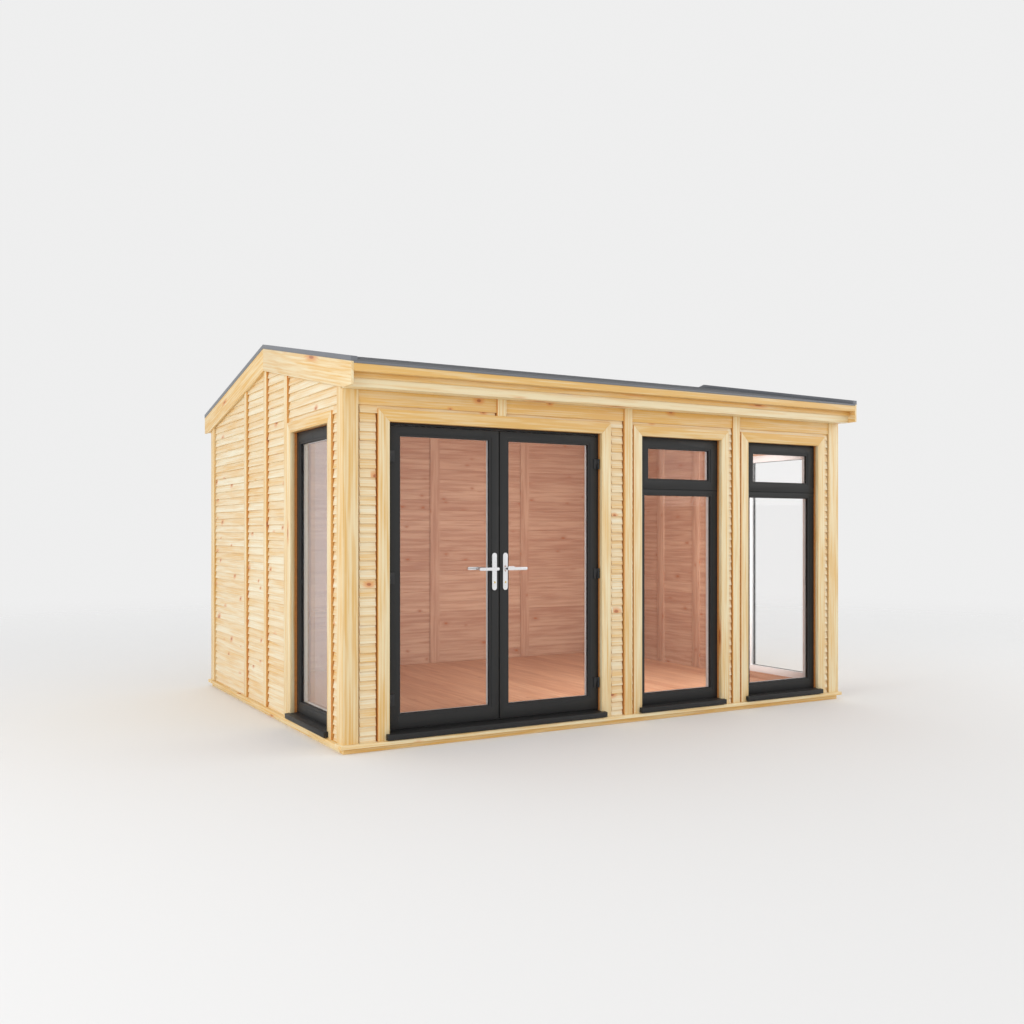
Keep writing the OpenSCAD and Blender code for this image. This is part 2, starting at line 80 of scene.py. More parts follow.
WALLS = {
    "front": Matrix(((1, 0, 0, -HALF_W), (0, 1, 0, -HALF_D), (0, 0, 1, 0), (0, 0, 0, 1))),
    "left": Matrix(((0, 1, 0, -HALF_W), (1, 0, 0, -HALF_D), (0, 0, 1, 0), (0, 0, 0, 1))),
    "right": Matrix(((0, -1, 0, HALF_W), (1, 0, 0, -HALF_D), (0, 0, 1, 0), (0, 0, 0, 1))),
    "back": Matrix(((1, 0, 0, -HALF_W), (0, -1, 0, HALF_D), (0, 0, 1, 0), (0, 0, 0, 1))),
}
LENGTHS = {"front": WALL_W, "back": WALL_W, "left": WALL_D, "right": WALL_D}
NEAR = 1 * MM  # closer than this to a wall's face counts as outside
SLIVER = 2 * MM  # a course of boards lower than this isn't made
WELD = 0.02 * MM  # corners closer than this are one

X, Y, Z = Vector((1, 0, 0)), Vector((0, 1, 0)), Vector((0, 0, 1))


def roof_line(depth):
    """Height of the roof surface at a depth behind the front trims."""
    return RIDGE_Z - SLOPE * abs(HALF_D - depth)


# ---- Sizes and colours that a user would change ----


def size(name, text, millimetres):
    return FloatProperty(
        name=name, description=text, default=millimetres * MM, min=0.0, unit="LENGTH",
        precision=4,
    )


def colour(name, text, value):
    return FloatVectorProperty(
        name=name, description=text, default=value, size=3, min=0.0, max=1.0, subtype="COLOR"
    )


def power(name, text, watts):
    return FloatProperty(name=name, description=text, default=watts, min=0.0, unit="POWER")


class OfficeSizes(PropertyGroup):
    board_pitch: size("Cladding pitch", "Height of each cladding board that shows", 51.8)
    board_start: size("First board", "How much of the lowest board is cut away", 14)
    frieze_h: size("Frieze", "Height of the flat board under each soffit", 82)
    packing_h: size("Eave packing", "Height of the strip under each eave rail", 29)
    board_lap: size("Cladding lap", "How far a board runs up behind the next one", 9)
    board_out: size("Cladding depth", "How far the thick edges lie behind the trims", 8)
    board_edge: size("Thick edge", "Thickness of the lower edge of a cladding board", 10)
    board_gap: size("End gap", "Gap between a board's end and the trim beside it", 10)
    lining_pitch: size("Lining pitch", "Width of the boards inside", 90)
    floor_pitch: size("Floorboard width", "Width of the floorboards", 118)
    ceiling_t: size("Ceiling boards", "Thickness of the boards under the roof", 9)
    ease: size("Eased edge", "Rounding on the edges of trims and boards", 1.5)
    bead_w: size("Glazing bead", "Width of the bead round each glass unit", 14)
    bead_step: size("Bead step", "How far a bead lies behind the face of its frame", 3)
    gasket_w: size("Gasket", "Width of the black gasket on the glass", 1.5)
    seam_w: size("Membrane lap", "Width of a lap in the roof membrane", 70)
    seed: IntProperty(name="Figure", description="Which boards the timber is cut from", default=7)


class OfficeColours(PropertyGroup):
    pine_light: colour("Pine, early wood", "Pale part of the grain", (0.89, 0.82, 0.61))
    pine_dark: colour("Pine, late wood", "Deep part of the grain", (0.78, 0.46, 0.12))
    trim_light: colour("Trim, early wood", "Pale part of the trims", (0.89, 0.77, 0.50))
    trim_dark: colour("Trim, late wood", "Deep part of the trims", (0.77, 0.46, 0.13))
    knot: colour("Knots", "Heart of a knot", (0.42, 0.12, 0.03))
    # Also the deep orange of the painted shade on trim sides and in the gaps behind the boards
    halo: colour("Knot ring", "Resin round a knot", (0.72, 0.27, 0.06))
    lining_light: colour("Lining, early wood", "Pale part of the lining", (0.62, 0.40, 0.27))
    lining_dark: colour("Lining, late wood", "Deep part of the lining", (0.42, 0.21, 0.13))
    floor_light: colour("Floor, early wood", "Pale part of the floorboards", (0.74, 0.45, 0.28))
    floor_dark: colour("Floor, late wood", "Deep part of the floorboards", (0.52, 0.25, 0.14))
    anthracite: colour("Frame foil", "Outside of doors and windows", (0.019, 0.019, 0.019))
    white: colour("Frame inside", "Inside of doors and windows", (0.82, 0.82, 0.82))
    membrane: colour("Roof membrane", "Sheet on the roof", (0.10, 0.105, 0.115))
    roof_trim: colour("Roof trims", "Folded trims round the roof", (0.17, 0.18, 0.20))
    black: colour("Hinges", "Coated hinges and gaskets", (0.012, 0.012, 0.013))
    silver: colour("Handles", "Polished handles", (0.86, 0.86, 0.87))
    brass: colour("Lock", "End of the lock cylinder", (0.70, 0.52, 0.22))


class OfficeStudio(PropertyGroup):
    floor: colour("Floor", "Studio floor", (0.89, 0.89, 0.89))
    backdrop: colour("Backdrop", "Studio light from all round", (0.86, 0.86, 0.86))
    strength: FloatProperty(
        name="Backdrop strength", description="Brightness of the backdrop", default=1.0, min=0.0
    )
    key: power("Key light", "Power of the large light on the left", 225.0)
    fill: power("Fill light", "Power of the large light on the right", 90.0)
    room: power("Room light", "Power of the soft light inside the room", 42.0)


def sizes():
    return bpy.context.scene.office_sizes


def colours():
    return bpy.context.scene.office_colours


# ---- Shader helpers ----


def node(tree, kind, inputs=None, **settings):
    """A shader node with its settings, and its inputs set or linked."""
    made = tree.nodes.new("ShaderNode" + kind)
    for key, value in settings.items():
        setattr(made, key, value)
    for key, value in (inputs or {}).items():
        if isinstance(value, bpy.types.NodeSocket):
            tree.links.new(value, made.inputs[key])
        else:
            made.inputs[key].default_value = value
    return made


def calc(tree, operation, a, b=0.0, c=0.0):
    return node(tree, "Math", {0: a, 1: b, 2: c}, operation=operation).outputs[0]


def soft_step(tree, value, low, high, start=0.0, end=1.0):
    """Start below low, end above high, and a smooth change between them."""
    return node(
        tree, "MapRange",
        {"Value": value, "From Min": low, "From Max": high, "To Min": start, "To Max": end},
        interpolation_type="SMOOTHSTEP",
    ).outputs["Result"]


def tint(tree, amount, a, b):
    """Colour a where amount is 0 and b where it is 1."""
    made = node(tree, "Mix", {0: amount}, data_type="RGBA")
    for index, value in ((6, a), (7, b)):
        if isinstance(value, bpy.types.NodeSocket):
            tree.links.new(value, made.inputs[index])
        else:
            made.inputs[index].default_value = (*value, 1.0)
    return made.outputs[2]


def scaled(tree, vector, x, y, z=1.0):
    return node(tree, "Mapping", {"Vector": vector, "Scale": (x, y, z)}).outputs[0]


def noise(tree, vector, scale, detail):
    inputs = {"Vector": vector, "Scale": scale, "Detail": detail}
    return node(tree, "TexNoise", inputs).outputs["Fac"]


def new_group(name, inputs, outputs):
    group = bpy.data.node_groups.new(name, "ShaderNodeTree")
    for kind, sockets in (("INPUT", inputs), ("OUTPUT", outputs)):
        for label, socket, value in sockets:
            made = group.interface.new_socket(
                name=label, in_out=kind, socket_type="NodeSocket" + socket
            )
            if value is not None:
                made.default_value = value
    given = group.nodes.new("NodeGroupInput").outputs
    return group, given, group.nodes.new("NodeGroupOutput").inputs


def timber_figure():
    """Rings, fibres and knots of a board, on its own lengthwise and crosswise coordinates."""
    if "timber figure" in bpy.data.node_groups:
        return bpy.data.node_groups["timber figure"]
    group, given, made = new_group(
        "timber figure",
        [("Vector", "Vector", None), ("Ring Scale", "Float", 26.0), ("Knots", "Float", 0.2),
         ("Stretch", "Float", 0.62)],
        [("Figure", "Float", None), ("Fibre", "Float", None), ("Knot", "Float", None),
         ("Halo", "Float", None), ("Height", "Float", None)],
    )
    place = given["Vector"]
    aspect = node(group, "CombineXYZ", {"X": given["Stretch"], "Y": 1.0}).outputs[0]
    shaped = node(group, "VectorMath", {0: place, 1: aspect}, operation="MULTIPLY").outputs[0]
    cells = node(group, "TexVoronoi", {"Vector": shaped, "Scale": 8.5}, voronoi_dimensions="2D")
    chance = node(group, "SeparateColor", {"Color": cells.outputs["Color"]}).outputs
    present = calc(group, "LESS_THAN", chance[0], given["Knots"])
    reach = calc(group, "MULTIPLY_ADD", chance[1], 0.07, 0.045)
    near = calc(group, "DIVIDE", cells.outputs["Distance"], reach)
    knot = calc(group, "MULTIPLY", soft_step(group, near, 0.62, 1.1, 1.0, 0.0), present)
    halo = calc(group, "MULTIPLY", soft_step(group, near, 0.8, 3.4, 1.0, 0.0), present)
    split = node(group, "SeparateXYZ", {"Vector": place}).outputs
    bent = node(
        group, "CombineXYZ",
        {"X": calc(group, "MULTIPLY", split[0], 0.16),
         "Y": calc(group, "MULTIPLY_ADD", halo, 0.016, split[1])},
    ).outputs[0]
    rings = node(
        group, "TexWave",
        {"Vector": bent, "Scale": given["Ring Scale"], "Distortion": 9.0, "Detail": 2.0,
         "Detail Scale": 0.14, "Detail Roughness": 0.45},
        wave_type="BANDS", bands_direction="Y", wave_profile="SAW",
    ).outputs["Fac"]
    fibre = noise(group, scaled(group, place, 7.0, 420.0), 1.0, 2.0)
    cloud = noise(group, scaled(group, place, 1.1, 9.0), 1.0, 2.0)
    streak = soft_step(group, noise(group, scaled(group, place, 2.4, 44.0), 1.0, 3.0), 0.36, 0.66)
    body = calc(group, "MULTIPLY", rings, soft_step(group, cloud, 0.3, 0.7, 0.15, 0.55))
    mixed = calc(group, "MULTIPLY_ADD", streak, 0.5, body)
    figure = calc(group, "MULTIPLY_ADD", fibre, 0.25, mixed)
    height = calc(group, "MULTIPLY_ADD", fibre, 0.6, calc(group, "MULTIPLY", knot, -0.6))
    for label, value in (("Figure", figure), ("Fibre", fibre), ("Knot", knot), ("Halo", halo),
                         ("Height", height)):
        group.links.new(value, made[label])
    return group


def fine_grain():
    """Small unevenness of a moulded, coated or metal surface."""
    if "fine grain" in bpy.data.node_groups:
        return bpy.data.node_groups["fine grain"]
    group, given, made = new_group(
        "fine grain",
        [("Vector", "Vector", None), ("Size", "Float", 400.0)],
        [("Mottle", "Float", None), ("Height", "Float", None), ("Wear", "Float", None)],
    )
    grain = noise(group, given["Vector"], given["Size"], 3.0)
    group.links.new(noise(group, given["Vector"], 5.0, 4.0), made["Mottle"])
    group.links.new(grain, made["Height"])
    wear = soft_step(group, noise(group, given["Vector"], 17.0, 5.0), 0.55, 0.8)
    group.links.new(wear, made["Wear"])
    return group


def new_material(name):
    made = bpy.data.materials.new(name)
    made.use_nodes = True
    tree = made.node_tree
    tree.nodes.clear()
    shader = node(tree, "BsdfPrincipled")
    output = node(tree, "OutputMaterial")
    tree.links.new(shader.outputs[0], output.inputs["Surface"])
    return made, tree, shader


def bump(tree, shader, height, distance):
    made = node(tree, "Bump", {"Height": height, "Distance": distance})
    tree.links.new(made.outputs[0], shader.inputs["Normal"])


def timber(name, light, dark, ring, knots, roughness, spread, halo=None, stretch=0.62,
           contrast=1.1):
    """Planed timber: each board has its own tone, rings, fibres and knots."""
    made, tree, shader = new_material(name)
    place = node(tree, "UVMap", uv_map="grain").outputs[0]
    tone = node(tree, "Attribute", attribute_name="tone").outputs["Fac"]
    figure = node(tree, "Group", node_tree=timber_figure())
    tree.links.new(place, figure.inputs["Vector"])
    figure.inputs["Ring Scale"].default_value = ring
    figure.inputs["Knots"].default_value = knots
    figure.inputs["Stretch"].default_value = stretch
    out = figure.outputs
    grain = calc(tree, "MULTIPLY", out["Figure"], contrast)
    amount = calc(tree, "MULTIPLY_ADD", tone, spread, grain)
    base = tint(tree, calc(tree, "SUBTRACT", amount, spread * 0.35 + 0.04), light, dark)
    ringed = tint(tree, calc(tree, "MULTIPLY", out["Halo"], 0.75), base, halo or colours().halo)
    shade = tint(tree, calc(tree, "MULTIPLY", out["Knot"], 0.9), ringed, colours().knot)
    tree.links.new(shade, shader.inputs["Base Color"])
    tree.links.new(
        calc(tree, "MULTIPLY_ADD", out["Fibre"], 0.18, roughness - 0.09), shader.inputs["Roughness"]
    )
    bump(tree, shader, out["Height"], 0.5 * MM)
    shader.inputs["Specular IOR Level"].default_value = 0.75
    return made


def sawn(name, light, dark):
    """Timber of the hidden panels, on the object's own coordinates; its deep orange is partly its
    own colour and partly painted shade for the gaps between boards.
    """
    made, tree, shader = new_material(name)
    place = node(tree, "TexCoord").outputs["Object"]
    bands = noise(tree, scaled(tree, place, 1.5, 1.5, 45.0), 1.0, 4.0)
    fleck = noise(tree, scaled(tree, place, 30.0, 30.0, 400.0), 1.0, 2.0)
    amount = calc(tree, "MULTIPLY_ADD", fleck, 0.3, calc(tree, "MULTIPLY", bands, 0.8))
    tree.links.new(tint(tree, amount, light, dark), shader.inputs["Base Color"])
    shader.inputs["Roughness"].default_value = 0.7
    bump(tree, shader, fleck, 0.8 * MM)
    return made


def coated(name, base, roughness, grain, depth, metallic=0.0, change=0.3, spec=0.5):
    """Plastic, paint, rubber or metal with fine grain and slight wear."""
    made, tree, shader = new_material(name)
    place = node(tree, "TexCoord").outputs["Object"]
    fine = node(tree, "Group", node_tree=fine_grain())
    tree.links.new(place, fine.inputs["Vector"])
    fine.inputs["Size"].default_value = grain
    dull = [c * (1 - change) for c in base]
    pale = [min(1.0, c * (1 + change)) for c in base]
    tree.links.new(tint(tree, fine.outputs["Mottle"], dull, pale), shader.inputs["Base Color"])
    dulled = calc(tree, "MULTIPLY_ADD", fine.outputs["Wear"], 0.12, roughness)
    tree.links.new(dulled, shader.inputs["Roughness"])
    shader.inputs["Metallic"].default_value = metallic
    shader.inputs["Specular IOR Level"].default_value = spec
    bump(tree, shader, fine.outputs["Height"], depth * MM)
    return made


def clear_glass(name):
    """Clear through two panes, with a coat that shows more at a shallow angle."""
    made, tree, shader = new_material(name)
    place = node(tree, "TexCoord").outputs["Object"]
    haze = noise(tree, place, 3.0, 3.0)
    shader.inputs["Base Color"].default_value = (0.97, 0.985, 0.98, 1.0)
    shader.inputs["Transmission Weight"].default_value = 1.0
    shader.inputs["Metallic"].default_value = 0.0
    shader.inputs["IOR"].default_value = 1.01
    shader.inputs["Coat Weight"].default_value = 1.0
    shader.inputs["Coat IOR"].default_value = 2.4
    shader.inputs["Roughness"].default_value = 0.0
    tree.links.new(calc(tree, "MULTIPLY", haze, 0.03), shader.inputs["Coat Roughness"])
    facing = node(tree, "LayerWeight", {"Blend": 0.5}).outputs["Facing"]
    tree.links.new(soft_step(tree, facing, 0.42, 0.66, 0.1, 0.95), shader.inputs["Alpha"])
    return made


MAKERS = {
    "pine": lambda c: timber(
        "pine cladding", c.pine_light, c.pine_dark, ring=22.0, knots=0.15, roughness=0.4,
        spread=0.4, contrast=0.8),
    "trim": lambda c: timber(
        "pine trim", c.trim_light, c.trim_dark, ring=16.0, knots=0.12, roughness=0.42, spread=0.4,
        stretch=0.22),
    # Painted shade: a darker, oranger finish for the sides of battens and architraves, standing in
    # for the shade beside them
    "trim edge": lambda c: timber(
        "trim edge", c.trim_dark, c.halo, ring=16.0, knots=0.12, roughness=0.5, spread=0.4),
    "lining": lambda c: timber(
        "red lining", c.lining_light, c.lining_dark, ring=34.0, knots=0.3, roughness=0.5,
        spread=0.35, halo=c.lining_dark),
    "floor": lambda c: timber(
        "floorboards", c.floor_light, c.floor_dark, ring=26.0, knots=0.10, roughness=0.4,
        spread=0.5, halo=c.floor_dark),
    "base": lambda c: timber(
        "base timber", c.trim_light, c.pine_dark, ring=22.0, knots=0.06, roughness=0.65,
        spread=0.55),
    # The panels' own sawn timber, made deep orange and darker as painted shade for the end gaps of
    # the cladding
    "sawn": lambda c: sawn("sawn panel", c.halo, [0.55 * v for v in c.halo]),
    "anthracite": lambda c: coated(
        "anthracite foil", c.anthracite, 0.5, grain=900.0, depth=0.1, change=0.12, spec=0.35),
    "white": lambda c: coated("white plastic", c.white, 0.35, grain=700.0, depth=0.04, change=0.03),
    "membrane": lambda c: coated(
        "roof membrane", c.membrane, 0.75, grain=260.0, depth=0.5, spec=0.3),
    "roof trim": lambda c: coated(
        "coated roof trim", c.roof_trim, 0.42, grain=500.0, depth=0.08, change=0.12),
    "black": lambda c: coated("black coating", c.black, 0.45, grain=800.0, depth=0.08),
    "silver": lambda c: coated(
        "polished silver", c.silver, 0.2, grain=900.0, depth=0.01, metallic=1.0, change=0.05),
    "brass": lambda c: coated(
        "brass", c.brass, 0.25, grain=900.0, depth=0.01, metallic=1.0, change=0.1),
    "glass": lambda c: clear_glass("clear glass"),
}
made_finishes = {}


def finish(name):
    """The material of one finish, made the first time it is asked for."""
    if name not in made_finishes:
        made_finishes[name] = MAKERS[name](colours())
    return made_finishes[name]


# ---- Modelling helpers ----

FLAT = math.radians(0.5)
SHARP = math.radians(28)
# How wide the rounded edges are, where it isn't the common width.
CLAD_EASE, LINING_EASE, FLOOR_EASE, SURROUND_EASE = 0.7 * MM, 2 * MM, 1.2 * MM, 1.2 * MM
FRAME_EASE, HINGE_EASE, LAP_EASE = 1.5 * MM, 0.6 * MM, 0.5 * MM


def prism(outline, axis, start, stop):
    """A solid with a flat outline, run along X, Y or Z from start to stop."""
    bm = bmesh.new()
    put = {
        "X": lambda p: (start, p[0], p[1]),
        "Y": lambda p: (p[0], start, p[1]),
        "Z": lambda p: (p[0], p[1], start),
    }[axis]
    face = bm.faces.new([bm.verts.new(put(p)) for p in outline])
    return run_on(bm, [face], {"X": X, "Y": Y, "Z": Z}[axis] * (stop - start))


def run_on(bm, faces, way):
    """Extrudes faces along a way into a closed solid."""
    swept = bmesh.ops.extrude_face_region(bm, geom=faces)
    ends = [v for v in swept["geom"] if isinstance(v, bmesh.types.BMVert)]
    bmesh.ops.translate(bm, verts=ends, vec=way)
    bmesh.ops.recalc_face_normals(bm, faces=bm.faces[:])
    return bm


def slab(x0, x1, y0, y1, z0, z1):
    return prism([(x0, z0), (x1, z0), (x1, z1), (x0, z1)], "Y", y0, y1)


def pierced(outer, holes, front, back):
    """A flat frame in a wall's own x and z with square holes, from one depth to another."""
    bm = bmesh.new()
    xs = sorted({r[i] for r in [outer, *holes] for i in (0, 1)})
    zs = sorted({r[i] for r in [outer, *holes] for i in (2, 3)})
    grid = {(x, z): bm.verts.new((x, front, z)) for x in xs for z in zs}
    for x0, x1 in zip(xs, xs[1:]):
        for z0, z1 in zip(zs, zs[1:]):
            mid = ((x0 + x1) / 2, (z0 + z1) / 2)
            if not any(h[0] < mid[0] < h[1] and h[2] < mid[1] < h[3] for h in holes):
                bm.faces.new([grid[x0, z0], grid[x1, z0], grid[x1, z1], grid[x0, z1]])
    loose = [v for v in bm.verts if not v.link_faces]
    bmesh.ops.delete(bm, geom=loose, context="VERTS")
    run_on(bm, bm.faces[:], Y * (back - front))
    bmesh.ops.dissolve_limit(bm, angle_limit=FLAT, verts=bm.verts[:], edges=bm.edges[:])
    return bm


def ease(bm, width, segments=2):
    """Rounds the sharp edges of a solid."""
    if width > 0:
        sharp = [e for e in bm.edges if len(e.link_faces) == 2 and e.calc_face_angle(0) > SHARP]
        bmesh.ops.bevel(
            bm, geom=sharp, offset=width, offset_type="OFFSET", segments=segments, profile=0.5,
            affect="EDGES", clamp_overlap=True, material=-1,
        )
    return bm


def cut_above(bm, point, normal):
    """Takes away what lies past a plane and closes the cut."""
    geom = bm.verts[:] + bm.edges[:] + bm.faces[:]
    bmesh.ops.bisect_plane(bm, geom=geom, plane_co=point, plane_no=normal, clear_outer=True)
    rim = [e for e in bm.edges if e.is_boundary]
    if rim:
        bmesh.ops.holes_fill(bm, edges=rim)
        bmesh.ops.recalc_face_normals(bm, faces=bm.faces[:])
    return bm


def connected(bm):
    """The separate solids of a mesh, as lists of vertices."""
    left, found = set(bm.verts), []
    while left:
        queue, part = [left.pop()], []
        while queue:
            v = queue.pop()
            part.append(v)
            for e in v.link_edges:
                other = e.other_vert(v)
                if other in left:
                    left.remove(other)
                    queue.append(other)
        found.append(part)
    return sorted(found, key=lambda p: tuple(round(min(v.co[i] for v in p), 4) for i in range(3)))


def extent(verts):
    low = Vector([min(v.co[i] for v in verts) for i in range(3)])
    return low, Vector([max(v.co[i] for v in verts) for i in range(3)])


def merged(name):
    """A copy of a CAD node as one clean mesh."""
    bm = bmesh.new()
    bm.from_mesh(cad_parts[name].data)
    bmesh.ops.remove_doubles(bm, verts=bm.verts[:], dist=WELD)
    bmesh.ops.dissolve_limit(bm, angle_limit=FLAT, verts=bm.verts[:], edges=bm.edges[:])
    return bm


def solids(name):
    """The box of each solid of a CAD node."""
    bm = merged(name)
    boxes = [extent(part) for part in connected(bm)]
    bm.free()
    return boxes


def grain_layers(bm):
    """The layers that hold each board's place in the figure and its shade."""
    uv = bm.loops.layers.uv.get("grain") or bm.loops.layers.uv.new("grain")
    return uv, bm.verts.layers.float.get("tone") or bm.verts.layers.float.new("tone")


def lay_grain(bm, faces, along, rng, shades=(0.0, 1.0)):
    """Maps a board lengthwise and crosswise, at a place of its own in the figure."""
    uv, tone = grain_layers(bm)
    shift_u, shift_v, shade = rng.uniform(0, 60), rng.uniform(0, 60), rng.uniform(*shades)
    for f in faces:
        across = f.normal.cross(along)
        ends = across.length < 0.5
        if ends:
            across = along.orthogonal().normalized()
            other = along.cross(across)
        for loop in f.loops:
            co = loop.vert.co
            u = co.dot(other) * 0.1 if ends else co.dot(along)
            loop[uv].uv = (u + shift_u, co.dot(across) + shift_v)
            loop.vert[tone] = shade


class Stack:
    """Boards or bars gathered into one mesh."""

    def __init__(self, key):
        self.bm = bmesh.new()
        self.rng = random.Random(f"{key} {sizes().seed}")
        self.scrap = bpy.data.meshes.new("scrap")

    def bar(self, x0, x1, y0, y1, z0, z1, along, shades=(0.0, 1.0)):
        self.add(ease(slab(x0, x1, y0, y1, z0, z1), sizes().ease), along, shades)

    def add(self, bm, along=None, shades=(0.0, 1.0)):
        """Takes up a solid, unless nothing is left of it, with its figure along a way."""
        if len(bm.faces) < 4:
            bm.free()
            return
        if along is not None:
            bm.normal_update()
            lay_grain(bm, bm.faces, along, self.rng, shades)
        bm.to_mesh(self.scrap)
        bm.free()
        self.bm.from_mesh(self.scrap)

    def piece(self, name, slot, finishes, body="building", wall=None, replaces=()):
        """Makes the piece, and says what it rides on and stands for."""
        bm = self.bm
        if wall:
            bmesh.ops.transform(bm, matrix=WALLS[wall], verts=bm.verts[:])
            if WALLS[wall].determinant() < 0:
                bmesh.ops.reverse_faces(bm, faces=bm.faces[:])
        mesh = bpy.data.meshes.new(name)
        bm.to_mesh(mesh)
        bm.free()
        bpy.data.meshes.remove(self.scrap)
        mesh.shade_smooth()
        mesh.set_sharp_from_angle(angle=SHARP)
        for f in finishes:
            mesh.materials.append(finish(f))
        made = bpy.data.objects.new(name, mesh)
        bpy.context.scene.collection.objects.link(made)
        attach(made, body)
        if replaces:
            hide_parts(*replaces)
        return made


def second_finish(faces):
    """Gives faces the piece's second finish."""
    for f in faces:
        f.material_index = 1


def paint_shade_on_sides(faces, ways):
    """Gives the sides of an upright trim that face one of the ways the second finish, a painted
    shade.
    """
    second_finish(f for f in faces if any(f.normal.dot(way) > 0.9 for way in ways))


def both_ways(low, high):
    """Both ways across an upright trim's width."""
    wide = X if high.x - low.x > high.y - low.y else Y
    return wide, -wide


def recut(node_name, name, slot, finishes, width, along=None, body="building", segments=2,
          shades=(0.0, 1.0), sides=False):
    """A CAD node as a finished piece: merged, eased, and each board given its grain."""
    stack = Stack(name)
    bm = merged(node_name)
    ease(bm, width, segments)
    bm.normal_update()
    if along is not None:
        grain_layers(bm)
        for part in connected(bm):
            faces = {f for v in part for f in v.link_faces}
            way = along(*extent(part)) if callable(along) else along
            lay_grain(bm, faces, way, stack.rng, shades)
            # Both sides across each trim get the second finish, a painted shade
            if sides:
                paint_shade_on_sides(faces, both_ways(*extent(part)))
    stack.bm.free()
    stack.bm = bm
    return stack.piece(name, slot, finishes, body, replaces=(node_name,))


def shade_node(name, finish_name):
    """Keeps a CAD node as it is and gives it a finish."""
    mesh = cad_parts[name].data
    mesh.materials.clear()
    mesh.materials.append(finish(finish_name))


# ---- Base and floor ----


class OFFICE_OT_base(Operator):
    """Bearers, deck boards and floorboards"""
    bl_idname = "office.base"
    bl_label = "Base and floor"

    def execute(self, context):
        self.bearers()
        self.deck()
        self.floorboards()
        return {"FINISHED"}

    def bearers(self):
        low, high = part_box("base_frame")
        width, bays = 60 * MM, 10
        stack = Stack("bearers")
        for y in (low.y, high.y - width):
            stack.bar(low.x, high.x, y, y + width, low.z, high.z, X)
        step = (high.x - low.x - width) / bays
        for i in range(bays + 1):
            x = low.x + i * step
            stack.bar(x, x + width, low.y + width, high.y - width, low.z, high.z, Y)
        stack.piece("base_bearers", "base_timber", ["base"], replaces=("base_frame",))

    def deck(self):
        low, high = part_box("floor_deck")
        width, pitch, gap = 96 * MM, 120 * MM, 1 * MM
        stack = Stack("deck")
        for y in (low.y, high.y - width):
            stack.bar(low.x, high.x, y, y + width, low.z, high.z, X)
        inner0, inner1 = low.y + width, high.y - width
        for x in (low.x, high.x - width):
            stack.bar(x, x + width, inner0, inner1, low.z, high.z, Y)
        count = round((inner1 - inner0) / pitch)
        step = (inner1 - inner0) / count
        for i in range(count):
            y = inner0 + i * step
            stack.add(slab(low.x + width, high.x - width, y, y + step - gap, low.z, high.z), X)
        stack.piece("deck_boards", "base_timber", ["base"], replaces=("floor_deck",))

    def floorboards(self):
        low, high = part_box("floor_boards")
        count = round((high.x - low.x) / sizes().floor_pitch)
        step, gap = (high.x - low.x) / count, 0.4 * MM
        stack = Stack("floor")
        for i in range(count):
            x = low.x + i * step
            board = slab(x, x + step - gap, low.y, high.y, low.z, high.z)
            stack.add(ease(board, FLOOR_EASE, 1), Y)
        stack.piece("floorboards", "floorboard", ["floor"], replaces=("floor_boards",))


# ---- Cladding and lining ----


def in_wall(wall, low, high):
    """A box in a wall's own frame: (x0, x1, z0, z1), and the depths where it starts and ends."""
    inverse = WALLS[wall].inverted()
    a, b = inverse @ low, inverse @ high
    return (min(a.x, b.x), max(a.x, b.x), low.z, high.z), min(a.y, b.y), max(a.y, b.y)


def local_box(name, wall):
    return in_wall(wall, *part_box(name))[0]


def outside_of(wall, names):
    """The solids of some nodes that lie on the outside of a wall."""
    found = []
    for name in names:
        for low, high in solids(name):
            rect, near, _ = in_wall(wall, low, high)
            if near < NEAR:
                found.append(rect)
    return found


def trims_on(wall):
    """What covers a wall outside, from the lowest up."""
    found = outside_of(wall, ("corner_trims", "wall_battens", "architraves"))
    return sorted(found, key=lambda r: r[2])


def openings_in(wall):
    """The door and window openings of a wall in its own frame."""
    names = {
        "front": ("door_frame", "front_window_frame_1", "front_window_frame_2"),
        "left": ("left_window_frame",), "right": ("right_window_frame",), "back": (),
    }[wall]
    return [local_box(name, wall) for name in names]


def free_spans(start, end, z0, z1, covered):
    """The parts of one course of boards that nothing covers."""
    cuts = sorted({start, end} | {x for r in covered for x in r[:2] if start < x < end})
    spans = []
    for xa, xb in zip(cuts, cuts[1:]):
        low, high, mid = z0, z1, (xa + xb) / 2
        for x0, x1, bottom, top in covered:
            if x0 < mid < x1:
                if bottom <= low + MM < top:
                    low = top
                elif low < bottom < high:
                    high = bottom
        if high - low < 4 * MM or xb - xa < MM:
            continue
        if spans and spans[-1][1] == xa and spans[-1][2:] == [low, high]:
            spans[-1][1] = xb
        else:
            spans.append([xa, xb, low, high])
    return spans


def cut_to_roof(bm, length, eave_height):
    """Cuts boards on a gable to the two slopes of the roof."""
    angle = math.atan(SLOPE)
    for x, side in ((0, -1), (length, 1)):
        up = Vector((side * math.sin(angle), 0, math.cos(angle)))
        cut_above(bm, Vector((x, 0, eave_height)), up)
    return bm


BACK_GAP = 2 * MM  # between the back of the cladding and the panel


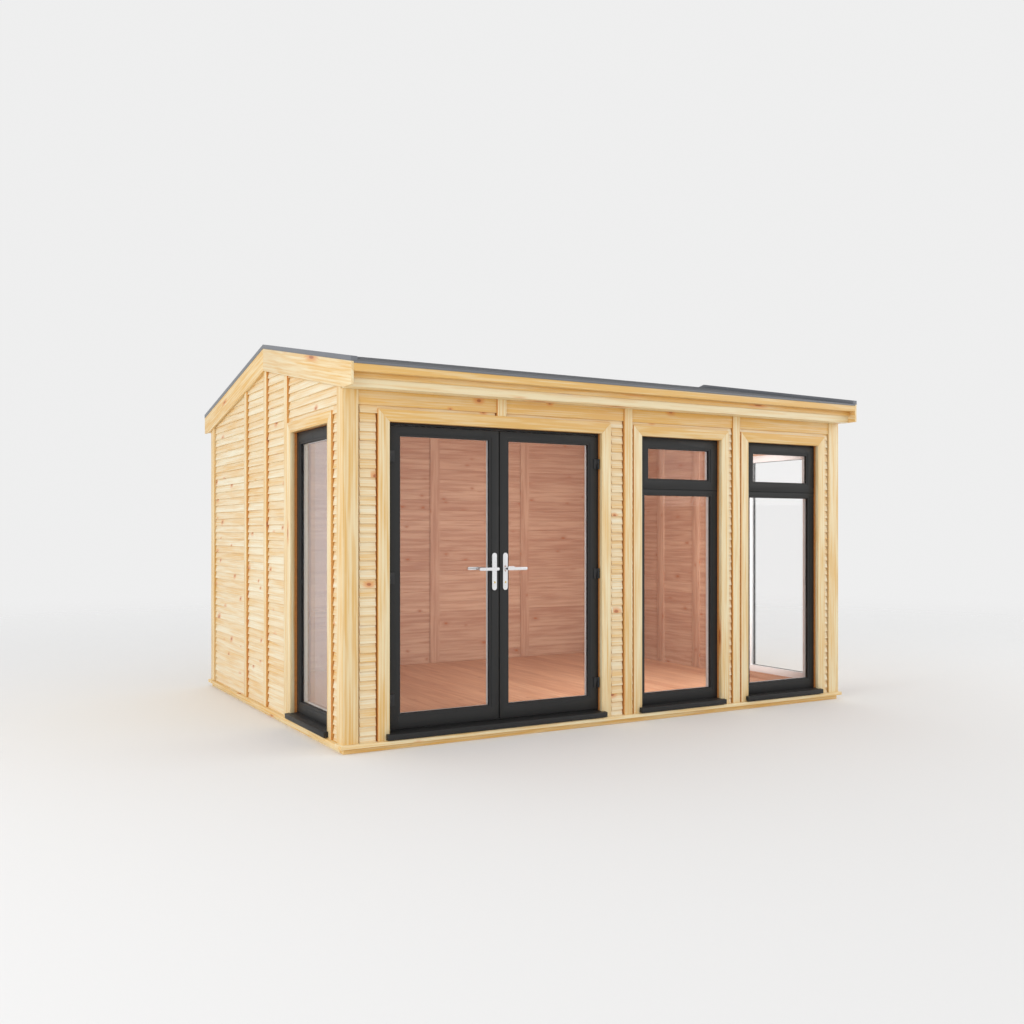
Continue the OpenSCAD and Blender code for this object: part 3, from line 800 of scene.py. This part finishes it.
class OFFICE_OT_cladding(Operator):
    """Feather-edge boards on the four walls"""
    bl_idname = "office.cladding"
    bl_label = "Cladding"

    def execute(self, context):
        for wall in WALLS:
            self.clad(wall)
        return {"FINISHED"}

    def clad(self, wall):
        s = sizes()
        gable = wall in ("left", "right")
        length, covered = LENGTHS[wall], trims_on(wall)
        eave = roof_line(0) - BARGE_DROP
        top = eave + SLOPE * HALF_D if gable else SOFFIT_Z - s.frieze_h
        stack = Stack(f"cladding {wall}")
        z0 = DECK_Z - s.board_start
        while z0 < top - SLIVER:
            z1 = z0 + s.board_pitch
            spans = free_spans(0, length, max(z0, DECK_Z), min(z1, top), covered)
            for xa, xb, low, high in spans:
                if gable and low > eave + SLOPE * min(HALF_D, max(xb, length - xa)) - MM:
                    continue
                gap = min(s.board_gap, (xb - xa) * 0.2)
                start = xa if any(o[1] == xa for o in spans) else xa + gap
                stop = xb if any(o[0] == xb for o in spans) else xb - gap
                bm = self.board(start, stop, low, high, z0, z1)
                if gable and high > eave:
                    cut_to_roof(bm, length, eave)
                stack.add(ease(bm, CLAD_EASE, 1), X)
            z0 = z1
        if not gable:
            for xa, xb, low, high in free_spans(0, length, top, SOFFIT_Z, covered):
                stack.bar(xa + MM, xb - MM, s.board_out, CLAD_T - BACK_GAP, low, high, X,
                          (1.5, 2.0))
        stack.piece(f"cladding_{wall}", "pine_board", ["pine"], wall=wall)

    def board(self, xa, xb, low, high, z0, z1):
        s = sizes()
        reach = high + s.board_lap if high >= z1 - 0.1 * MM else high
        fall = s.board_edge / s.board_pitch

        def outer(z):
            return s.board_out + (z - z0) * fall

        def inner(z):
            share = (z - z0) / (z1 + s.board_lap - z0)
            thick = s.board_out + s.board_edge
            return thick + 0.3 * MM + share * (CLAD_T - BACK_GAP - thick)

        return prism(
            [(outer(low), low), (inner(low), low), (inner(reach), reach), (outer(reach), reach)],
            "X", xa, xb,
        )


class OFFICE_OT_lining(Operator):
    """Lining boards, cover strips and ceiling boards of the room"""
    bl_idname = "office.lining"
    bl_label = "Lining"

    def execute(self, context):
        for wall in WALLS:
            self.line(wall)
        self.ceiling()
        recut("inner_cover_strips", "cover_strips", "lining", ["lining"], sizes().ease, Z)
        return {"FINISHED"}

    def line(self, wall):
        s = sizes()
        gable = wall in ("left", "right")
        length, covered = LENGTHS[wall], openings_in(wall)
        end = FRAME_IN if gable else PANEL_IN
        eave = roof_line(0) - DECK_DROP - SEAT_GAP
        top = eave + SLOPE * HALF_D if gable else eave + SLOPE * PANEL_IN
        stack = Stack(f"lining {wall}")
        course = 0
        while FLOOR_Z + course * s.lining_pitch < top - SLIVER:
            z0 = FLOOR_Z + course * s.lining_pitch
            z1 = min(z0 + s.lining_pitch, top)
            for xa, xb, low, high in free_spans(end, length - end, z0, z1, covered):
                bm = slab(xa, xb, PANEL_IN, ROOM_Y, low, high)
                if gable and high > eave + SLOPE * end:
                    cut_to_roof(bm, length, eave)
                stack.add(ease(bm, LINING_EASE, 1), X)
            course += 1
        stack.piece(f"lining_{wall}", "lining", ["lining"], wall=wall)

    def ceiling(self):
        s = sizes()
        stack = Stack("ceiling")
        count = round((HALF_D - ROOM_Y) / s.lining_pitch)
        step = (HALF_D - ROOM_Y) / count
        for side in (1, -1):
            for i in range(count):
                d0, d1 = ROOM_Y + i * step, ROOM_Y + (i + 1) * step
                points = []
                for d, drop in ((d0, 0), (d1, 0), (d1, s.ceiling_t), (d0, s.ceiling_t)):
                    points.append((side * (d - HALF_D), roof_line(d) - DECK_DROP - SEAT_GAP - drop))
                x = HALF_W - ROOM_Y
                stack.add(ease(prism(points, "X", -x, x), LINING_EASE, 1), X)
        stack.piece("ceiling_boards", "lining", ["lining"])


# ---- Trims ----


class OFFICE_OT_trims(Operator):
    """Corner trims, battens and mitred architraves"""
    bl_idname = "office.trims"
    bl_label = "Trims"

    def execute(self, context):
        width = sizes().ease
        recut("corner_trims", "corner_boards", "pine_trim", ["trim"], width, Z)
        # Battens: both sides take the painted shade finish
        recut("wall_battens", "battens", "pine_trim", ["trim", "trim edge"], width, Z,
              shades=(-0.2, 0.5), sides=True)
        replaced = ("architraves",)
        for wall in ("front", "left", "right"):
            stack = Stack(f"architraves {wall}")
            for outer in outside_of(wall, ("architraves",)):
                inner = next(
                    f for f in openings_in(wall) if outer[0] < f[0] and f[1] < outer[1]
                )
                self.surround(stack, outer, inner)
            stack.piece(f"architraves_{wall}", "pine_trim", ["trim", "trim edge"], wall=wall,
                        replaces=replaced)
            replaced = ()
        return {"FINISHED"}

    def surround(self, stack, outer, inner):
        """Two legs and a head that meet in mitres."""
        x0, x1, z0, z1 = outer
        a, b, top = inner[0], inner[1], inner[3]
        for outline, along, shades in (
            ([(x0, z0), (a, z0), (a, top), (x0, z1)], Z, (-0.3, 0.1)),
            ([(b, z0), (x1, z0), (x1, z1), (b, top)], Z, (-0.3, 0.1)),
            ([(a, top), (b, top), (x1, z1), (x0, z1)], X, (1.0, 1.4)),
        ):
            bm = ease(prism(outline, "Y", 0, CLAD_T), SURROUND_EASE)
            bm.normal_update()
            if along == Z:
                # The outer side of each leg gets the painted shade finish
                paint_shade_on_sides(bm.faces, [-X if outline[0][0] == x0 else X])
            stack.add(bm, along, shades)


class OFFICE_OT_eaves(Operator):
    """Bargeboards, eave rails, fascias and soffits"""
    bl_idname = "office.eaves"
    bl_label = "Eaves"

    def execute(self, context):
        width = sizes().ease
        pale, deep = (-0.9, -0.6), (1.1, 1.5)
        for side in ("front", "back"):
            for part, shades in (("soffit", pale), ("fascia", pale), ("eave_rail", deep)):
                recut(f"{side}_{part}", f"{side}_{part}_board", "pine_trim", ["trim"], width, X,
                      shades=shades)
            self.packing(side)
        for side in ("left", "right"):
            recut(f"{side}_bargeboards", f"{side}_barge_pair", "pine_trim", ["trim"], width,
                  self.rake)
        return {"FINISHED"}

    def packing(self, side):
        """A strip in the corner under an eave rail, in front of the fascia."""
        low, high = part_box(f"{side}_eave_rail")
        face_low, face_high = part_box(f"{side}_fascia")
        thick = 16 * MM
        y = face_low.y - thick if side == "front" else face_high.y
        stack = Stack(f"packing {side}")
        stack.bar(low.x, high.x, y, y + thick, low.z - sizes().packing_h, low.z, X, (1.0, 1.3))
        stack.piece(f"{side}_eave_packing", "pine_trim", ["trim"])

    def rake(self, low, high):
        """Along the slope of the roof, on the side that a board stands on."""
        rise = SLOPE if low.y + high.y < 0 else -SLOPE
        return Vector((0, 1, rise)).normalized()


class OFFICE_OT_roof(Operator):
    """Roof decks, membrane with its laps, and folded trims"""
    bl_idname = "office.roof"
    bl_label = "Roof"

    def execute(self, context):
        for name in ("roof_deck_front", "roof_deck_back"):
            shade_node(name, "sawn")
        recut("roof_covering", "membrane", "roof_felt", ["membrane"], 0)
        recut("eave_trims", "eave_trim_pair", "roof_trim", ["roof trim"], 1.2 * MM)
        recut("verge_trims", "verge_trim_pair", "roof_trim", ["roof trim"], 2 * MM)
        self.laps()
        return {"FINISHED"}

    def laps(self):
        """The folded ridge strip and a lap half way down each slope."""
        s = sizes()
        stack = Stack("laps")
        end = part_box("roof_covering")[1].x - 22 * MM
        half, thick, lift = 150 * MM, 1.6 * MM, 0.2 * MM
        peak = roof_line(HALF_D)
        low = peak - SLOPE * half + lift
        ridge = [(-half, low), (0, peak + lift), (half, low),
                 (half, low + thick), (0, peak + lift + thick), (-half, low + thick)]
        stack.add(ease(prism(ridge, "X", -end, end), LAP_EASE, 1))
        d0 = HALF_D * 0.48
        d1 = d0 + s.seam_w
        for side in (1, -1):
            points = []
            for depth, rise in ((d0, 0), (d1, 0), (d1, thick), (d0, thick)):
                points.append((side * (depth - HALF_D), roof_line(depth) + lift + rise))
            stack.add(ease(prism(points, "X", -end, end), LAP_EASE, 1))
        stack.piece("membrane_laps", "roof_felt", ["membrane"])


# ---- Doors and windows ----


def grown(rect, by):
    return rect[0] - by, rect[1] + by, rect[2] - by, rect[3] + by


def window_holes(wall, node_name):
    """The panes of a glass node in a wall's own frame, with their depths."""
    return sorted(in_wall(wall, low, high) for low, high in solids(node_name))


EDGE, STOP = 13 * MM, 20 * MM
FOILED = ["anthracite", "white"]


class FrameWork:
    """Frames of one wall, outside and inside in their own colours."""

    def __init__(self, wall):
        self.wall = wall
        self.frames, self.gaskets = Stack(f"frames {wall}"), Stack(f"gaskets {wall}")

    def part(self, outer, holes, front, back, split):
        """A frame from one depth to another, with the inside finish past the split."""
        bm = pierced(outer, holes, front, back)
        if front >= split:
            second_finish(bm.faces)
        elif split < back:
            geom = bm.verts[:] + bm.edges[:] + bm.faces[:]
            bmesh.ops.bisect_plane(bm, geom=geom, plane_co=Y * split, plane_no=Y)
            second_finish(f for f in bm.faces if f.calc_center_median().y > split)
        self.frames.add(ease(bm, FRAME_EASE))

    def bead(self, pane, front, back, near, far):
        """Beads outside and inside of a pane, and the seal on the glass."""
        s = sizes()
        rim = grown(pane, s.bead_w)
        middle = (near + far) / 2
        for y0, y1, edge in ((front + s.bead_step, near, -1), (near, middle, 0), (middle, far, 0),
                             (far, back - s.bead_step, 1)):
            bm = pierced(rim, [pane], y0, y1)
            if y0 >= middle:
                second_finish(bm.faces)
            if edge:
                self.slope(bm, pane, y0 if edge < 0 else y1)
            self.frames.add(bm)
        lip = pierced(pane, [grown(pane, -s.gasket_w)], near - 1.2 * MM, near - 0.2 * MM)
        self.gaskets.add(lip)

    def slope(self, bm, hole, depth):
        """Slopes the edge of a bead towards the glass."""
        edges = [
            e for e in bm.edges
            if all(abs(v.co.y - depth) < 0.1 * MM and hole[0] - MM < v.co.x < hole[1] + MM
                   and hole[2] - MM < v.co.z < hole[3] + MM for v in e.verts)
        ]
        bmesh.ops.bevel(
            bm, geom=edges, offset=4 * MM, offset_type="OFFSET", segments=3, profile=0.5,
            affect="EDGES", clamp_overlap=True, material=-1,
        )

    def pieces(self, name, body, replaces):
        self.frames.piece(name, "frame_plastic", FOILED, body, self.wall, replaces)
        self.gaskets.piece(f"{name}_gaskets", "frame_plastic", ["black"], body, self.wall)


class OFFICE_OT_windows(Operator):
    """Door frame, window frames, top lights, sills and glass"""
    bl_idname = "office.windows"
    bl_label = "Frames and glass"

    def execute(self, context):
        self.door_frame()
        self.front_windows()
        for wall in ("left", "right"):
            self.side_window(wall)
            self.inner_trim(wall)
        recut("door_sill", "door_sill_bar", "frame_plastic", ["anthracite"], FRAME_EASE)
        recut("window_sills", "window_sill_bars", "frame_plastic", ["anthracite"], FRAME_EASE)
        for name in ("front_window_glass", "left_window_glass", "right_window_glass",
                     "left_leaf_glass", "right_leaf_glass"):
            shade_node(name, "glass")
        return {"FINISHED"}

    def door_frame(self):
        work = FrameWork("front")
        outer = local_box("door_frame", "front")
        x0, x1, z0, z1 = outer
        stop_y = LEAF_IN + 6 * MM
        split = LEAF_Y + 24 * MM
        inner = (x0 + EDGE, x1 - EDGE, z0 + 5 * MM, z1 - EDGE)
        work.part(outer, [inner], FRAME_Y, stop_y, split)
        work.part(outer, [grown(inner, -STOP)], stop_y, FRAME_IN, split)
        work.frames.piece("door_surround", "frame_plastic", FOILED, wall="front",
                          replaces=("door_frame",))
        work.gaskets.bm.free()

    def front_windows(self):
        panes = window_holes("front", "front_window_glass")
        for number in (1, 2):
            work = FrameWork("front")
            outer = local_box(f"front_window_frame_{number}", "front")
            x0, x1, _, z1 = outer
            own = sorted((p for p in panes if x0 < p[0][0] < x1), key=lambda p: p[0][2])
            (light, near, far), (top, top_near, top_far) = own
            sash_low = min(low.z for low, _ in solids("top_sashes"))
            rebate = (x0 + EDGE, x1 - EDGE, sash_low, z1 - EDGE)
            split = (near + far) / 2
            bead = sizes().bead_w
            work.part(outer, [grown(light, bead), rebate], FRAME_Y, LEAF_IN, split)
            work.part(outer, [grown(light, bead), grown(rebate, -STOP)], LEAF_IN, FRAME_IN, split)
            work.bead(light, FRAME_Y, FRAME_IN, near, far)
            work.pieces(f"front_window_{number}", "building", (f"front_window_frame_{number}",))
            work = FrameWork("front")
            split = (top_near + top_far) / 2
            work.part(rebate, [grown(top, bead)], LEAF_Y, LEAF_IN, split)
            work.bead(top, LEAF_Y, LEAF_IN, top_near, top_far)
            work.pieces(f"top_light_{number}", "building", ("top_sashes",) if number == 1 else ())

    def side_window(self, wall):
        work = FrameWork(wall)
        (pane, near, far), = window_holes(wall, f"{wall}_window_glass")
        split = (near + far) / 2
        work.part(local_box(f"{wall}_window_frame", wall), [grown(pane, sizes().bead_w)],
                  FRAME_Y, FRAME_IN, split)
        work.bead(pane, FRAME_Y, FRAME_IN, near, far)
        work.pieces(f"{wall}_window", "building", (f"{wall}_window_frame",))

    def inner_trim(self, wall):
        """Boards round the inside of a window, in part over its frame."""
        stack = Stack(f"inner trim {wall}")
        over, out, y0, y1 = 25 * MM, 30 * MM, ROOM_Y, ROOM_Y + 20 * MM
        a, b, low, high = local_box(f"{wall}_window_frame", wall)
        for x0, x1, z0, z1, along in (
            (a - out, a + over, low - out, high - over, Z),
            (b - over, b + out, low - out, high - over, Z),
            (a + over, b - over, low - out, low + over, X),
            (a - out, b + out, high - over, high + out, X),
        ):
            stack.bar(x0, x1, y0, y1, max(z0, FLOOR_Z), z1, along)
        stack.piece(f"{wall}_inner_trim", "lining", ["lining"], wall=wall)


class OFFICE_OT_doors(Operator):
    """Door leaves with their beads and gaskets, and the hinges"""
    bl_idname = "office.doors"
    bl_label = "Doors"

    def execute(self, context):
        for side in ("left", "right"):
            work = FrameWork("front")
            (pane, near, far), = window_holes("front", f"{side}_leaf_glass")
            split = (near + far) / 2
            work.part(local_box(f"{side}_leaf", "front"), [grown(pane, sizes().bead_w)],
                      LEAF_Y, LEAF_IN, split)
            work.bead(pane, LEAF_Y, LEAF_IN, near, far)
            work.pieces(f"{side}_door", f"{side}_leaf", (f"{side}_leaf",))
            recut(f"{side}_leaf_hinges", f"{side}_door_hinges", "hinge_black", ["black"],
                  HINGE_EASE, body=f"{side}_leaf")
        recut("frame_hinges", "frame_hinge_parts", "hinge_black", ["black"], HINGE_EASE)
        return {"FINISHED"}


class OFFICE_OT_handles(Operator):
    """Handle plates, levers, screws and lock cylinders"""
    bl_idname = "office.handles"
    bl_label = "Handles"

    def execute(self, context):
        for side in ("left", "right"):
            for part, name, body, width in (
                (f"{side}_handle_plates", f"{side}_plates", f"{side}_leaf", 1.5 * MM),
                (f"{side}_lever", f"{side}_lever_bar", f"{side}_lever", 2 * MM),
            ):
                recut(part, name, "handle_silver", ["silver"], width, body=body, segments=3)
            self.fittings(side)
        return {"FINISHED"}

    def fittings(self, side):
        low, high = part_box(f"{side}_handle_plates")
        x = (low.x + high.x) / 2
        lock_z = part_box(f"{side}_lever")[0].z + 9 * MM - 82 * MM
        screws, locks = Stack(f"screws {side}"), Stack(f"locks {side}")
        sunk, inset = 3 * MM, 16 * MM
        for y, out in ((low.y, -1), (high.y, 1)):
            for z in (low.z + inset, high.z - inset):
                screws.add(self.disc(x, y - out * sunk, z, out, 3.6 * MM, 0.8 * MM))
            locks.add(self.disc(x, y, lock_z, out, 6.5 * MM, 0.4 * MM))
        screws.piece(f"{side}_plate_screws", "handle_silver", ["silver"], f"{side}_leaf")
        locks.piece(f"{side}_lock_ends", "handle_silver", ["brass"], f"{side}_leaf")

    def disc(self, x, y, z, out, radius, thick):
        """A round head that stands out from a face."""
        bm = bmesh.new()
        turn = Matrix.Rotation(math.pi / 2, 4, "X")
        place = Matrix.Translation((x, y + out * thick / 2, z)) @ turn
        bmesh.ops.create_cone(
            bm, cap_ends=True, segments=24, radius1=radius, radius2=radius, depth=thick,
            matrix=place,
        )
        return ease(bm, thick * 0.4, 2)


class OFFICE_OT_panels(Operator):
    """Finish of the wall panels behind the boards"""
    bl_idname = "office.panels"
    bl_label = "Wall panels"

    def execute(self, context):
        for name in ("front_pier_left", "front_pier_middle", "front_pier_right",
                     "front_pier_corner", "front_header", "back_wall", "left_wall", "right_wall"):
            shade_node(name, "sawn")
        return {"FINISHED"}


# ---- Studio ----


CAMERA_PLACE, CAMERA_TURN = (-3.957, -6.886, 1.240), (90, 0, -29.885)
LENS, SENSOR, SHIFT_UP = 36.25, 36.0, 0.0184
# Each light: its name, its size, where it stands and where it points.
LAMPS = (
    ("key", (7.0, 4.0), (-9.5, -3.8, 3.0), (0, 0, 1)),
    ("room", (1.9, 1.7), (0.6, -1.28, 1.2), (0.6, 2, 1.2)),
    ("fill", (6.0, 4.0), (7.5, -6.0, 3.5), (1.5, -1, 0.6)),
)


class OFFICE_OT_stage(Operator):
    """Studio floor, light and camera"""
    bl_idname = "office.stage"
    bl_label = "Studio"

    def execute(self, context):
        scene, studio = context.scene, context.scene.office_studio
        self.camera(scene)
        self.floor(scene, studio)
        self.light(scene, studio)
        scene.view_settings.view_transform = "Standard"
        return {"FINISHED"}

    def camera(self, scene):
        data = bpy.data.cameras.new("camera")
        data.sensor_width, data.lens, data.shift_y = SENSOR, LENS, SHIFT_UP
        data.clip_end = 200
        camera = bpy.data.objects.new("camera", data)
        camera.location = CAMERA_PLACE
        camera.rotation_euler = [math.radians(turn) for turn in CAMERA_TURN]
        scene.collection.objects.link(camera)
        scene.camera = camera

    def floor(self, scene, studio):
        bm = bmesh.new()
        bmesh.ops.create_circle(bm, cap_ends=True, segments=96, radius=60)
        mesh = bpy.data.meshes.new("studio_floor")
        bm.to_mesh(mesh)
        bm.free()
        floor = bpy.data.objects.new("studio_floor", mesh)
        scene.collection.objects.link(floor)
        made, tree, shader = new_material("studio floor")
        shader.inputs["Base Color"].default_value = (*studio.floor, 1.0)
        shader.inputs["Roughness"].default_value = 0.8
        shader.inputs["Specular IOR Level"].default_value = 0.1
        place = node(tree, "TexCoord").outputs["Object"]
        away = node(tree, "VectorMath", {0: place}, operation="LENGTH").outputs["Value"]
        tree.links.new(soft_step(tree, away, 2.2, 14.0, 1.0, 0.0), shader.inputs["Alpha"])
        mesh.materials.append(made)

    def light(self, scene, studio):
        world = bpy.data.worlds.new("studio")
        scene.world = world
        world.use_nodes = True
        back = world.node_tree.nodes["Background"]
        back.inputs["Color"].default_value = (*studio.backdrop, 1.0)
        back.inputs["Strength"].default_value = studio.strength
        lamps = {
            name: self.lamp(scene, name, getattr(studio, name), *rest) for name, *rest in LAMPS
        }
        room = lamps["room"]
        room.visible_camera = room.visible_glossy = room.visible_transmission = False

    def lamp(self, scene, name, watts, area, place, target):
        light = bpy.data.lights.new(name, "AREA")
        light.shape, light.size, light.size_y = "RECTANGLE", *area
        light.energy = watts
        lamp = bpy.data.objects.new(name, light)
        lamp.location = place
        way = Vector(target) - lamp.location
        lamp.rotation_euler = way.to_track_quat("-Z", "Y").to_euler()
        scene.collection.objects.link(lamp)
        return lamp


class OFFICE_PT_panel(Panel):
    """Lists the pieces of the garden office"""
    bl_idname = "OFFICE_PT_panel"
    bl_label = "Garden Office"
    bl_space_type = "VIEW_3D"
    bl_region_type = "UI"
    bl_category = "Garden Office"

    def draw(self, context):
        for step in STEPS:
            self.layout.operator(step.bl_idname)
        for group in (sizes(), colours(), context.scene.office_studio):
            box = self.layout.box()
            for key in group.__annotations__:
                box.prop(group, key)


STEPS = (
    OFFICE_OT_stage, OFFICE_OT_panels, OFFICE_OT_base, OFFICE_OT_cladding, OFFICE_OT_lining,
    OFFICE_OT_trims, OFFICE_OT_eaves, OFFICE_OT_roof, OFFICE_OT_windows, OFFICE_OT_doors,
    OFFICE_OT_handles,
)
CLASSES = (OfficeSizes, OfficeColours, OfficeStudio, *STEPS, OFFICE_PT_panel)


def register():
    for cls in CLASSES:
        bpy.utils.register_class(cls)
    bpy.types.Scene.office_sizes = PointerProperty(type=OfficeSizes)
    bpy.types.Scene.office_colours = PointerProperty(type=OfficeColours)
    bpy.types.Scene.office_studio = PointerProperty(type=OfficeStudio)


def unregister():
    del bpy.types.Scene.office_studio
    del bpy.types.Scene.office_colours
    del bpy.types.Scene.office_sizes
    for cls in reversed(CLASSES):
        bpy.utils.unregister_class(cls)


def main():
    register()
    for step in STEPS:
        group, name = step.bl_idname.split(".")
        getattr(getattr(bpy.ops, group), name)()


if __name__ == "__main__":
    main()
